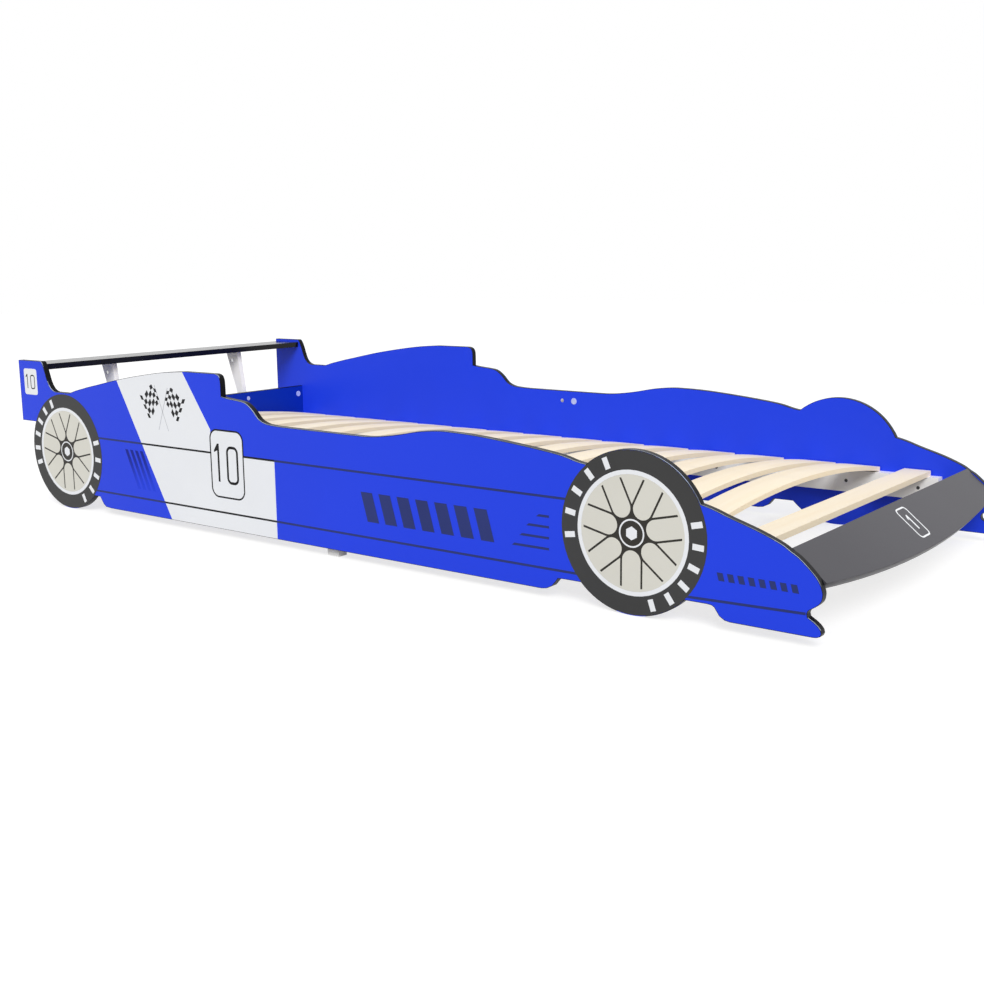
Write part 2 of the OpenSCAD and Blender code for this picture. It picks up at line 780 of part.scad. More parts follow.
module nose_board() {
    color([0.35, 0.35, 0.37]) difference() {
        on_nose() translate([0, 0, -nose_t]) linear_extrude(nose_t) nose_plan(edge_t);
        for (side = [-1, 1]) at_batten_lift(side) screw(batten_lift_l, fit);
    }
}

module nose_edging() {
    color([0.2, 0.2, 0.22]) on_nose() translate([0, 0, -nose_t]) linear_extrude(nose_t)
        difference() {
            nose_plan(0);
            nose_plan(edge_t);
        }
}

module nose_batten(side) {
    start = batten_shares[0] * nose_side_l;
    end = batten_shares[1] * nose_side_l;
    y = side > 0 ? board_in - batten_w : -board_in;
    color([0.95, 0.95, 0.94]) difference() {
        on_nose() translate([start, y, -nose_t - batten_w]) cube([end - start, batten_w, batten_w]);
        for (s = batten_screw_shares) at_batten_screw(side, s) screw_hole(batten_screw_l);
        at_batten_lift(side) screw_hole(batten_lift_l);
    }
}

module nose_batten_right() nose_batten(-1);
module nose_batten_left() nose_batten(1);

module cam_locks() {
    color([0.75, 0.75, 0.77]) for (side = [-1, 1]) {
        at_seam(side, true) cam_lock();
        for (s = head_lock_shares) head_cam(side, s) cam_lock();
        wing_cam(side) cam_lock();
    }
}

// Rods between a cam lock and the nut or panel that it pulls
module cam_rods() {
    color([0.75, 0.75, 0.77]) for (side = [-1, 1]) {
        translate([rear_x + seam_x - cam_set + nut_d / 2, side * board_mid, seam_lock_z])
            rotate([0, 90, 0]) rod(rod_d, 2 * cam_set - nut_d / 2 - cam_d / 2);
        for (s = head_lock_shares) at_headboard_end(side, s) end_rod();
        at_wing_end(side, wing_lock_share) end_rod();
    }
}

module end_rod() {
    translate([0, 0, cam_d / 2 - cam_set]) rod(rod_d, cam_set - cam_d / 2 + bite);
}

module dowels() {
    color([0.85, 0.7, 0.5]) for (side = [-1, 1]) {
        for (s = seam_dowel_shares) in_seam(side, s * panel_h, dowel_l) rod(dowel_d, dowel_l);
        for (s = head_dowel_shares) at_headboard_end(side, s)
            translate([0, 0, bite - dowel_l]) rod(dowel_d, dowel_l);
        for (s = wing_dowel_shares) at_wing_end(side, s)
            translate([0, 0, bite - dowel_l]) rod(dowel_d, dowel_l);
    }
}

// Flat caps over the locks and screws that would show
module cover_caps() {
    color([0.8, 0.83, 0.95]) for (side = [-1, 1]) {
        at_seam(side, true) translate([0, 0, -cap_t]) cylinder(d = cap_d, h = cap_t);
        head_cam(side, head_lock_shares[1]) translate([0, 0, -cap_t]) cylinder(d = cap_d, h = cap_t);
        at_post_screw(side, post_screw_zs[0]) translate([0, 0, -cap_t])
            cylinder(d = screw_cap_d, h = cap_t);
    }
}

module rail_screws() {
    color([0.55, 0.55, 0.57]) for (side = [-1, 1], x = rail_screw_xs)
        at_rail_screw(side, x) screw(rail_screw_l);
}

module leg_screws() {
    color([0.55, 0.55, 0.57]) for (side = [-1, 1], s = leg_screw_shares)
        at_leg_screw(side, s) screw(rail_screw_l);
}

module post_screws() {
    color([0.55, 0.55, 0.57]) for (side = [-1, 1], z = post_screw_zs)
        at_post_screw(side, z) screw(post_screw_l);
}

module wing_bolts() {
    color([0.2, 0.2, 0.2]) for (side = [-1, 1]) at_wing_bolt(side) wing_bolt();
}

// Nuts for the bolts of the wing board and for the rods across the seam
module barrel_nuts() {
    color([0.6, 0.6, 0.62]) for (side = [-1, 1]) {
        at_wing_bolt(side) translate([0, post_t / 2 - nut_play, -nut_drop]) rotate([90, 0, 0])
            cylinder(d = nut_d, h = post_t - 2 * nut_play);
        at_seam(side, false) cylinder(d = nut_d, h = cam_depth - fit);
    }
}

module batten_screws() {
    color([0.55, 0.55, 0.57]) for (side = [-1, 1]) {
        for (s = batten_screw_shares) at_batten_screw(side, s) screw(batten_screw_l);
        at_batten_lift(side) screw(batten_lift_l);
    }
}

module slat_pegs() {
    color([0.85, 0.7, 0.5]) for (side = [-1, 1], x = peg_xs) at_peg(side, x) rod(peg_d, peg_l);
}

// Rectangle with round corners, its lower left corner at 0
module round_rect(w, h, r) {
    translate([r, 0]) square([w - 2 * r, h]);
    translate([0, r]) square([w, h - 2 * r]);
    for (x = [r, w - r], y = [r, h - r]) translate([x, y]) circle(r);
}

// Row of slanting blocks, rising to the rear for a slant above 0
module blocks(count, w, pitch, h, slant) {
    for (i = [0 : count - 1]) translate([i * pitch, 0])
        polygon([[slant, 0], [0, h], [w, h], [w + slant, 0]]);
}

// The dark web of a wheel: everything but the openings between and inside the forks
module web_2d() {
    apex = (spoke_gap_w / 2 + spoke_line_w) / sin(fork_angle);
    gap_start = hub_r + web_w + spoke_gap_w / 2;
    difference() {
        circle(line_end_share * inner_rim_r);
        for (i = [0 : spoke_count - 1]) {
            rotate(90 + (2 * i + 1) * fork_angle) {
                translate([gap_start, 0]) circle(d = spoke_gap_w);
                translate([gap_start, -spoke_gap_w / 2]) square([rim_r, spoke_gap_w]);
            }
            rotate(90 + 2 * i * fork_angle) translate([apex, 0])
                polygon([[0, 0], rim_r * [cos(fork_angle), sin(fork_angle)],
                    rim_r * [cos(fork_angle), -sin(fork_angle)]]);
        }
    }
}

module hub_white_2d() {
    difference() {
        circle(hub_r);
        circle(hub_r - hub_ring_w);
    }
    rotate(30) circle(nut_w / 2 / cos(30), $fn = 6);
}

module marks_2d(runs) {
    for (run = runs, i = [0 : run[2] - 1]) rotate(run[0] + i * run[1])
        translate([(wheel_r + rim_r - mark_h) / 2, -mark_w / 2]) square([mark_h, mark_w]);
}

module tyre_2d(runs) {
    difference() {
        circle(tyre_r);
        circle(rim_r);
        marks_2d(runs);
    }
}

// A number plate filled by its children: a ring, two figures or the ground round them
module plate_line_2d(w, h, r, t) {
    difference() {
        round_rect(w, h, r);
        translate([t, t]) round_rect(w - 2 * t, h - 2 * t, r - t);
    }
}

// The figures of a plate of width w, flipped about its middle where that side is
// read from the other way
module figures_2d(w, h, flip) {
    nought = figure_nought_shares;
    translate([flip ? w : 0, 0]) mirror([flip ? 1 : 0, 0]) {
        polygon([for (p = figure_one_shares) [p[0] * w, p[1] * h]]);
        translate([nought[0] * w, nought[1] * h]) plate_line_2d(nought[2] * w, nought[3] * h,
            figure_round_share * w, figure_line_share * w);
    }
}

module at_share(s) {
    translate([s[0] * panel_l, s[1] * panel_h]) children();
}

module stripes_2d() {
    difference() {
        union() {
            for (s = stripe_shares) translate([rear_wheel_x, s * panel_h - stripe_w / 2])
                square([front_wheel_x - rear_wheel_x, stripe_w]);
            intersection() {
                body_2d(edge_t);
                polygon([for (p = [[0, 1], [1, 1], [1, -1], [0, -1]])
                    [nose_stripe_shares[p[0]][0] * panel_l,
                        nose_stripe_shares[p[0]][1] * panel_h + p[1] * stripe_w / 2]]);
            }
        }
        for (x = [rear_wheel_x, front_wheel_x]) at_wheel(x) circle(tyre_r);
        at_share(plate_shares) round_rect(plate_w, plate_h, plate_r);
    }
}

module dark_2d(flip) {
    stripes_2d();
    at_share(plate_shares) {
        plate_line_2d(plate_w, plate_h, plate_r, outline_w);
        figures_2d(plate_w, plate_h, flip);
    }
    at_share(wing_plate_at_shares) figures_2d(wing_number_w, wing_number_h, flip);
    at_share(vent_shares) blocks(vent_count, vent_w, vent_pitch, vent_h, vent_slant);
    for (i = [0 : len(speed_bar_lengths) - 1])
        translate([speed_bar_share * panel_l, speed_bar_shares[i] * panel_h])
            polygon([[0, 0], [0, stripe_w], [-speed_bar_lengths[i] + speed_bar_slant, stripe_w],
                [-speed_bar_lengths[i], 0]]);
    at_share(side_block_shares)
        blocks(side_block_count, side_block_w, side_block_pitch, side_block_h, side_block_slant);
    at_share(nose_block_shares)
        blocks(nose_block_count, nose_block_w, nose_block_pitch, nose_block_h, nose_block_slant);
}

module white_2d(flip) {
    difference() {
        intersection() {
            body_2d(edge_t);
            polygon(sized(band_shares));
        }
        stripes_2d();
        at_share(plate_shares) round_rect(plate_w, plate_h, plate_r);
    }
    at_share(plate_shares) difference() {
        round_rect(plate_w, plate_h, plate_r);
        plate_line_2d(plate_w, plate_h, plate_r, outline_w);
        figures_2d(plate_w, plate_h, flip);
    }
    at_share(wing_plate_at_shares) difference() {
        round_rect(wing_number_w, wing_number_h, wing_number_r);
        figures_2d(wing_number_w, wing_number_h, flip);
    }
    for (w = [[rear_wheel_x, rear_marks], [front_wheel_x, front_marks]]) at_wheel(w[0]) {
        difference() {
            circle(rim_r);
            circle(inner_rim_r);
        }
        hub_white_2d();
        marks_2d(w[1]);
    }
}

module tyre_prints() {
    color([0.24, 0.24, 0.25]) for (side = [-1, 1]) slab(side, board_out, film_t) {
        at_wheel(rear_wheel_x) tyre_2d(rear_marks);
        at_wheel(front_wheel_x) tyre_2d(front_marks);
    }
}

module rim_prints() {
    color([0.84, 0.83, 0.79]) for (side = [-1, 1]) slab(side, board_out, film_t)
        for (x = [rear_wheel_x, front_wheel_x]) at_wheel(x) difference() {
            circle(inner_rim_r);
            web_2d();
        }
}

module spoke_prints() {
    color([0.18, 0.17, 0.16]) for (side = [-1, 1]) slab(side, board_out, film_t)
        for (x = [rear_wheel_x, front_wheel_x]) at_wheel(x) difference() {
            web_2d();
            hub_white_2d();
        }
}

module white_prints() {
    color([0.95, 0.95, 0.96]) for (side = [-1, 1]) slab(side, board_out, film_t) white_2d(side > 0);
}

module dark_prints() {
    color([0.06, 0.08, 0.25]) for (side = [-1, 1], front = [false, true])
        slab(side, board_out, film_t) half_2d(front) dark_2d(side > 0);
}

// Outline and figure of the number plate on the nose board, read from the front
module nose_print() {
    color([0.95, 0.95, 0.96]) on_nose() translate([nose_plate_start + nose_plate_l, -nose_plate_w / 2, 0])
        rotate(90) linear_extrude(film_t) {
            plate_line_2d(nose_plate_w, nose_plate_l, nose_plate_r, nose_line_w);
            polygon([for (p = nose_one_shares) [p[0] * nose_plate_w, p[1] * nose_plate_l]]);
        }
}

panel_right_rear();
panel_right_front();
panel_left_rear();
panel_left_front();
edging_right_rear();
edging_right_front();
edging_left_rear();
edging_left_front();
headboard();
headboard_edging();
wing_board();
wing_post_right();
wing_post_left();
rail_right();
rail_left();
leg_right();
leg_left();
slat_01();
slat_02();
slat_03();
slat_04();
slat_05();
slat_06();
slat_07();
slat_08();
slat_09();
slat_10();
slat_11();
slat_12();
slat_13();
slat_14();
slat_15();
front_slat();
nose_board();
nose_edging();
nose_batten_right();
nose_batten_left();
cam_locks();
cam_rods();
dowels();
cover_caps();
rail_screws();
leg_screws();
post_screws();
wing_bolts();
barrel_nuts();
batten_screws();
slat_pegs();
tyre_prints();
rim_prints();
spoke_prints();
white_prints();
dark_prints();
nose_print();
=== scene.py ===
import json
import math

import bpy
from mathutils import Matrix, Vector

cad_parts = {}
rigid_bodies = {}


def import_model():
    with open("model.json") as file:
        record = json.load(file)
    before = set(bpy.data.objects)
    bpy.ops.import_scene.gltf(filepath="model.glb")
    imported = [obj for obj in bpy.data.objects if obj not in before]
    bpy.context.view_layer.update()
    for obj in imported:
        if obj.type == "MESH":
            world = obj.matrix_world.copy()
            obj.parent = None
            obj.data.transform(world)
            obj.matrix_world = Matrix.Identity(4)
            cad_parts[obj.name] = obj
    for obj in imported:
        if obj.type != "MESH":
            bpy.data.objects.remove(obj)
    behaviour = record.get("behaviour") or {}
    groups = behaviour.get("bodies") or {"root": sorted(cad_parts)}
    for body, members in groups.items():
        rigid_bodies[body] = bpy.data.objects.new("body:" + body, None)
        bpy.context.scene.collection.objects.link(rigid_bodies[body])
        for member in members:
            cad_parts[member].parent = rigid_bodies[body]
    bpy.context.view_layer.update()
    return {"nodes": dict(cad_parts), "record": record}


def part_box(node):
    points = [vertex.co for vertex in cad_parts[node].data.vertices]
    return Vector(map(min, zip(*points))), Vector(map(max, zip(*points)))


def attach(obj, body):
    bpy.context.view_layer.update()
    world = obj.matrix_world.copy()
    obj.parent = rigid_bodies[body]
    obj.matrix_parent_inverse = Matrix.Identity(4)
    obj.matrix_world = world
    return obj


for leftover in list(bpy.data.objects):
    bpy.data.objects.remove(leftover)

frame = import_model()
nodes = frame["nodes"]

MM = 0.001

# Camera, as in the photograph: its place in metres, its angles in degrees, and its focal
# length and the foot of its axis in pixels of an image of 984 by 984
IMAGE_SIDE = 984
CAMERA_PLACE = (1.873311, -2.325705, 0.639315)
CAMERA_AZIMUTH = 38.3336
CAMERA_ELEVATION = 10.2494
CAMERA_ROLL = -0.8322
FOCAL_PX = 1245.349
AXIS_PX = (474.770, 479.453)
SENSOR_MM = 36.0

# Light: the even world, and the key lamp with its direction, strength and width in degrees
WORLD_LIGHT = 0.6
KEY_TOWARDS = (0.50, -0.60, 0.62)
KEY_STRENGTH = 2.2
KEY_WIDTH = 30
LAMP_DISTANCE = 4

# Floor: half its side in metres, its paint, and the glow that lifts it to white for the camera
FLOOR_HALF = 12.0
FLOOR_PAINT = (0.42, 0.42, 0.42)
FLOOR_GLOW = 0.68

# The bent slats: their thickness, the height and radius of the bend of their undersides, the
# thickness of a ply, and how many pieces of wood of one shade there are in a metre of the bed
SLAT_T = 10 * MM
slat_low, slat_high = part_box("slat_08")
slat_rise = slat_high.z - SLAT_T - slat_low.z
SLAT_BEND = (slat_high.y ** 2 + slat_rise ** 2) / (2 * slat_rise)
SLAT_CENTRE_Z = slat_high.z - SLAT_T - SLAT_BEND
PLY_T = 2.8 * MM
PIECES_PER_METRE = 8.0

# Radii of the rounded corners of the slats and of the thin edge bands, the angle from which
# a corner is rounded, and the distance at which points of a mesh are joined before that
SLAT_ROUND = 2.5 * MM
BAND_ROUND = 0.4 * MM
ROUND_FROM_ANGLE = 40
WELD_DISTANCE = 0.01 * MM

# Print on the white band: crossed chequered flags, in millimetres along the panel from the
# middle of the bed and up from the floor
FILM_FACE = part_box("white_prints")[1].y
FILM_LIFT = 0.05 * MM
FLAG_COLUMNS, FLAG_ROWS = 6, 5
CELL_STEPS = 3
FLAG_WAVE = 0.13
POLE_W = 1.6
# Corners of each flag: head and foot of its side on the pole, head and foot of its fly
FLAGS = {
    "rear": ((-566, 343), (-545, 299), (-624, 316), (-594, 262)),
    "front": ((-517, 339), (-532, 300), (-453, 316), (-483, 261)),
}
POLE_FEET = {"rear": (-521, 235), "front": (-557, 236)}

# Side view of the print, in metres from the rear end of the panels: the foot of the slanting
# edge of the white band, how far that edge leans back over its height, the front edge of the
# band, the front of the wing plate's label, the front, top and foot of the air slots, and
# the heights between which the slots fade
REAR_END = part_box("edging_right_rear")[0].x
BAND_FOOT = 0.622
BAND_LEAN = 0.57
BAND_FRONT = 0.979
LABEL_FRONT = 0.1
SLOTS_FRONT = 0.6
SLOTS_TOP = 0.186
SLOTS_FOOT = 0.07
SLOT_FADE_TOP = 0.17
SLOT_FADE_FOOT = 0.08

# Outer face of the boards, the width of the painted highlight, a pale line along the outer
# corners of the upper faces of their edge bands, and the width over which the corners of the foil
# are rubbed
BOARD_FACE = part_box("edging_left_front")[1].y
HIGHLIGHT_LINE_WIDTH = 2 * MM
RUBBED_WIDTH = 1.5 * MM

# Colours that are used more than once or vary between two
BLUE = (0.014, 0.052, 0.75)
# Blue of the headboard, darkened as painted shade
PAINTED_SHADE_BLUE = (0.002, 0.025, 0.38)
BLACK = (0.003, 0.003, 0.004)
PALER_BLACK = (0.006, 0.006, 0.007)
NAVY = (0.021, 0.032, 0.145)
PALER_NAVY = (0.028, 0.042, 0.18)
SLOT_BLUE = (0.002, 0.012, 0.25)
# Pale blue-grey of the painted highlight along the outer corners of the edge bands
PAINTED_HIGHLIGHT_BLUE = (0.42, 0.50, 0.68)
SLAT_FACE = ((0.98, 0.88, 0.70), (0.93, 0.79, 0.58))
SLAT_EDGE = ((1.0, 0.86, 0.63), (0.91, 0.74, 0.50))
BEECH = ((0.80, 0.60, 0.38), (0.58, 0.38, 0.2))
ZINC = ((0.55, 0.56, 0.58), (0.72, 0.72, 0.72))


class Tree:
    """Short calls for making and joining shader nodes."""

    def __init__(self, tree):
        self.tree = tree

    def node(self, kind, **inputs):
        """A node with its inputs given by name, spaces written as underscores."""
        made = self.tree.nodes.new(kind)
        for name, value in inputs.items():
            self.put(made.inputs[name.replace("_", " ")], value)
        return made

    def put(self, socket, value):
        """Joins a socket to a socket, or sets it to a constant."""
        if isinstance(value, bpy.types.NodeSocket):
            self.tree.links.new(value, socket)
        else:
            socket.default_value = value

    def math(self, operation, a, b=0.0):
        """One sum on two values."""
        made = self.tree.nodes.new("ShaderNodeMath")
        made.operation = operation
        self.put(made.inputs[0], a)
        self.put(made.inputs[1], b)
        return made.outputs[0]

    def vector(self, operation, a, b=(0, 0, 0)):
        """One sum on two vectors."""
        made = self.tree.nodes.new("ShaderNodeVectorMath")
        made.operation = operation
        self.put(made.inputs[0], a)
        self.put(made.inputs[1], b)
        return made

    def noise(self, vector, scale, detail=2.0, roughness=0.5):
        """Value of a cloudy noise."""
        made = self.node("ShaderNodeTexNoise", Vector=vector, Scale=scale, Detail=detail)
        made.inputs["Roughness"].default_value = roughness
        return made.outputs["Fac"]

    def place(self):
        """Place on the object, in metres in the shared frame."""
        return self.tree.nodes.new("ShaderNodeTexCoord").outputs["Object"]

    def blend(self, a, share_a, b, share_b):
        """Weighted sum of two values."""
        return self.math("ADD", self.math("MULTIPLY", a, share_a), self.math("MULTIPLY", b, share_b))

    def spread(self, value, low, high, to_low=0.0, to_high=1.0):
        """Smooth step from to_low to to_high between low and high."""
        made = self.tree.nodes.new("ShaderNodeMapRange")
        made.interpolation_type = "SMOOTHSTEP"
        for name, x in (("Value", value), ("From Min", low), ("From Max", high),
                        ("To Min", to_low), ("To Max", to_high)):
            self.put(made.inputs[name], x)
        return made.outputs["Result"]

    def mix(self, share, a, b):
        """Colour between a and b."""
        made = self.tree.nodes.new("ShaderNodeMix")
        made.data_type = "RGBA"
        for socket, x in zip((made.inputs[0], made.inputs[6], made.inputs[7]), (share, a, b)):
            self.put(socket, x)
        return made.outputs[2]

    def group(self, tree, **inputs):
        """Outputs of a node group with its inputs given by name."""
        made = self.tree.nodes.new("ShaderNodeGroup")
        made.node_tree = tree
        for name, value in inputs.items():
            self.put(made.inputs[name.replace("_", " ")], value)
        return made.outputs


def new_group(name, inputs, outputs):
    """An empty node group with inputs {name: default} and outputs {name: kind}."""
    tree = bpy.data.node_groups.new(name, "ShaderNodeTree")
    for label, default in inputs.items():
        kind = "NodeSocketColor" if isinstance(default, tuple) else "NodeSocketFloat"
        socket = tree.interface.new_socket(label, in_out="INPUT", socket_type=kind)
        socket.default_value = default
    for label, kind in outputs.items():
        tree.interface.new_socket(label, in_out="OUTPUT", socket_type=kind)
    source = tree.nodes.new("NodeGroupInput").outputs
    sink = tree.nodes.new("NodeGroupOutput").inputs
    return tree, Tree(tree), source, sink


def make_pressed_grain():
    """Fine pressed grain of furniture foil, and its faint cloudy shade."""
    tree, t, source, sink = new_group(
        "pressed_grain", {"Grain": 900.0, "Cloud": 2.5},
        {"Height": "NodeSocketFloat", "Shade": "NodeSocketFloat"})
    place = t.place()
    fine = t.noise(place, source["Grain"], 3.0, 0.6)
    cloud = t.noise(place, source["Cloud"], 3.0, 0.5)
    t.put(sink["Height"], fine)
    t.put(sink["Shade"], t.spread(cloud, 0.3, 0.7))
    return tree


def make_rubbed_edges():
    """Mask of the outer corners of a board, broken up by a fine noise."""
    tree, t, source, sink = new_group(
        "rubbed_edges", {"Reach": 0.002, "Break": 60.0}, {"Mask": "NodeSocketFloat"})
    bevel = t.node("ShaderNodeBevel", Radius=source["Reach"])
    bevel.samples = 4
    flat = t.tree.nodes.new("ShaderNodeNewGeometry").outputs["True Normal"]
    turn = t.vector("DOT_PRODUCT", bevel.outputs[0], flat).outputs["Value"]
    edge = t.spread(turn, 0.995, 0.9)
    broken = t.spread(t.noise(t.place(), source["Break"], 3.0, 0.6), 0.35, 0.65)
    t.put(sink["Mask"], t.math("MULTIPLY", edge, broken))
    return tree


def make_wood_grain():
    """Long wood grain that runs across the bed: a colour, a height for the pores, a shade."""
    tree, t, source, sink = new_group(
        "wood_grain",
        {"Pale": (0.9, 0.8, 0.6, 1.0), "Dark": (0.7, 0.5, 0.3, 1.0), "Bands": 34.0, "Stretch": 0.05},
        {"Color": "NodeSocketColor", "Height": "NodeSocketFloat", "Shade": "NodeSocketFloat"})
    across = t.node("ShaderNodeCombineXYZ", X=1.0, Y=source["Stretch"], Z=1.0).outputs[0]
    place = t.vector("MULTIPLY", t.place(), across).outputs[0]
    sway = t.math("MULTIPLY", t.noise(place, 9.0, 2.0), 0.05)
    swayed = t.vector("ADD", place, t.node("ShaderNodeCombineXYZ", X=sway).outputs[0]).outputs[0]
    bands = t.noise(swayed, source["Bands"], 3.0, 0.55)
    streaks = t.noise(place, 420.0, 2.0, 0.6)
    along = t.node("ShaderNodeSeparateXYZ", Vector=t.place()).outputs["X"]
    step = t.math("FLOOR", t.math("MULTIPLY", along, PIECES_PER_METRE))
    pieces = t.noise(t.node("ShaderNodeCombineXYZ", X=step).outputs[0], 3.7, 0.0)
    shade = t.blend(t.spread(bands, 0.35, 0.7), 0.55, t.spread(pieces, 0.3, 0.7), 0.45)
    darkness = t.blend(shade, 0.75, t.spread(streaks, 0.45, 0.75), 0.25)
    t.put(sink["Color"], t.mix(darkness, source["Pale"], source["Dark"]))
    t.put(sink["Height"], t.blend(bands, 0.4, streaks, 0.6))
    t.put(sink["Shade"], shade)
    return tree


def make_ink_mottle():
    """Uneven lay of printed ink: fine dots and slow clouds."""
    tree, t, source, sink = new_group(
        "ink_mottle", {"Dots": 1400.0, "Clouds": 6.0},
        {"Shade": "NodeSocketFloat", "Height": "NodeSocketFloat"})
    place = t.place()
    dots = t.noise(place, source["Dots"], 1.0, 0.5)
    clouds = t.noise(place, source["Clouds"], 3.0, 0.6)
    t.put(sink["Shade"], t.blend(t.spread(dots, 0.3, 0.7), 0.4, t.spread(clouds, 0.3, 0.7), 0.6))
    t.put(sink["Height"], dots)
    return tree


def make_print_ground():
    """Masks of the dark print: where it lies on white, and where it is an air slot."""
    tree, t, source, sink = new_group(
        "print_ground", {"Rear End": 0.0}, {"On White": "NodeSocketFloat", "Slot": "NodeSocketFloat",
                                            "Slot Fade": "NodeSocketFloat"})
    axes = t.node("ShaderNodeSeparateXYZ", Vector=t.place()).outputs
    x = t.math("SUBTRACT", axes["X"], source["Rear End"])
    slant = t.math("ADD", x, t.math("MULTIPLY", axes["Z"], BAND_LEAN))
    band = t.math("MULTIPLY", t.math("GREATER_THAN", slant, BAND_FOOT),
                  t.math("LESS_THAN", x, BAND_FRONT))
    t.put(sink["On White"], t.math("MAXIMUM", band, t.math("LESS_THAN", x, LABEL_FRONT)))
    low = t.math("MULTIPLY", t.math("LESS_THAN", axes["Z"], SLOTS_TOP),
                 t.math("GREATER_THAN", axes["Z"], SLOTS_FOOT))
    t.put(sink["Slot"], t.math("MULTIPLY", low, t.math("LESS_THAN", x, SLOTS_FRONT)))
    t.put(sink["Slot Fade"], t.spread(axes["Z"], SLOT_FADE_TOP, SLOT_FADE_FOOT))
    return tree


GRAIN = make_pressed_grain()
RUBBED = make_rubbed_edges()
WOOD = make_wood_grain()
INK = make_ink_mottle()
GROUND = make_print_ground()


def new_material(name, **constants):
    """A material with one Principled shader; constants go on its own sockets."""
    made = bpy.data.materials.new(name)
    made.use_nodes = True
    made.node_tree.nodes.clear()
    t = Tree(made.node_tree)
    shader = t.tree.nodes.new("ShaderNodeBsdfPrincipled")
    out = t.tree.nodes.new("ShaderNodeOutputMaterial")
    t.tree.links.new(shader.outputs[0], out.inputs["Surface"])
    for label, value in constants.items():
        shader.inputs[label.replace("_", " ")].default_value = value
    return made, t, shader.inputs


def bumped(t, shader, height, strength, distance):
    """Joins a height to the shader's normal through a bump."""
    bump = t.node("ShaderNodeBump", Strength=strength, Distance=distance, Height=height)
    t.put(shader["Normal"], bump.outputs[0])


def tone(colour, factor=1.0):
    """A colour of a shader node, scaled by a factor."""
    return tuple(min(1.0, c * factor) for c in colour[:3]) + (1.0,)


def foil(name, colour, rough, depth=0.25, lighter=1.12, rub=(1.25, 0.35), **constants):
    """Printed foil on board: fine pressed grain, cloudy shade and slightly rubbed corners."""
    made, t, shader = new_material(name, **constants)
    grain = t.group(GRAIN, Grain=1100.0, Cloud=1.7)
    mask = t.group(RUBBED, Reach=RUBBED_WIDTH)["Mask"]
    body = t.mix(grain["Shade"], tone(colour), tone(colour, lighter))
    t.put(shader["Base Color"], t.mix(t.math("MULTIPLY", mask, rub[1]), body, tone(colour, rub[0])))
    t.put(shader["Roughness"], t.spread(grain["Height"], 0.3, 0.7, rough - 0.03, rough + 0.04))
    bumped(t, shader, grain["Height"], depth, 0.06 * MM)
    return made


def ink(name, colour, rough=0.42, lighter=1.1):
    """Printed film: uneven ink under a satin coat."""
    made, t, shader = new_material(name, Specular_IOR_Level=0.2)
    mottle = t.group(INK)
    t.put(shader["Base Color"], t.mix(mottle["Shade"], tone(colour), tone(colour, lighter)))
    t.put(shader["Roughness"], t.spread(mottle["Shade"], 0.0, 1.0, rough - 0.04, rough + 0.05))
    bumped(t, shader, mottle["Height"], 0.12, 0.03 * MM)
    return made


def make_dark_print():
    """Dark print: black over white, see-through navy over blue, and slots that fade out."""
    made, t, shader = new_material("navy_ink", Specular_IOR_Level=0.15)
    mottle = t.group(INK)
    ground = t.group(GROUND, Rear_End=REAR_END)
    black = t.mix(mottle["Shade"], tone(BLACK), tone(PALER_BLACK))
    navy = t.mix(mottle["Shade"], tone(NAVY), tone(PALER_NAVY))
    slot = t.mix(ground["Slot Fade"], tone(SLOT_BLUE), tone(BLUE, 0.95))
    over_blue = t.mix(ground["Slot"], navy, slot)
    t.put(shader["Base Color"], t.mix(ground["On White"], over_blue, black))
    t.put(shader["Roughness"], t.spread(mottle["Shade"], 0.0, 1.0, 0.4, 0.5))
    bumped(t, shader, mottle["Height"], 0.12, 0.03 * MM)
    return made


def make_edge_band(name, colour):
    """Glossy edge band with the cross scratches of its trimming and a painted highlight, a pale
    line along its outer corner on the faces that look upward."""
    made, t, shader = new_material(name, Specular_IOR_Level=0.1)
    place = t.place()
    lines = t.noise(t.vector("MULTIPLY", place, (1.0, 0.04, 1.0)).outputs[0], 700.0, 2.0, 0.6)
    reach = t.math("ABSOLUTE", t.node("ShaderNodeSeparateXYZ", Vector=place).outputs["Y"])
    corner = t.math("GREATER_THAN", reach, BOARD_FACE - HIGHLIGHT_LINE_WIDTH)
    normal = t.tree.nodes.new("ShaderNodeNewGeometry").outputs["True Normal"]
    upward = t.spread(t.node("ShaderNodeSeparateXYZ", Vector=normal).outputs["Z"], 0.35, 0.6)
    broken = t.spread(t.noise(place, 14.0, 2.0), 0.3, 0.55, 0.35, 1.0)
    # Painted highlight: pale colour along the outer corner, only on faces that look upward
    painted_highlight = t.math("MULTIPLY", t.math("MULTIPLY", corner, upward), broken)
    band = t.mix(t.spread(lines, 0.4, 0.7), tone(colour), tone(colour, 1.8))
    t.put(shader["Base Color"], t.mix(painted_highlight, band, tone(PAINTED_HIGHLIGHT_BLUE)))
    t.put(shader["Roughness"], t.spread(lines, 0.3, 0.7, 0.3, 0.4))
    bumped(t, shader, lines, 0.2, 0.05 * MM)
    return made


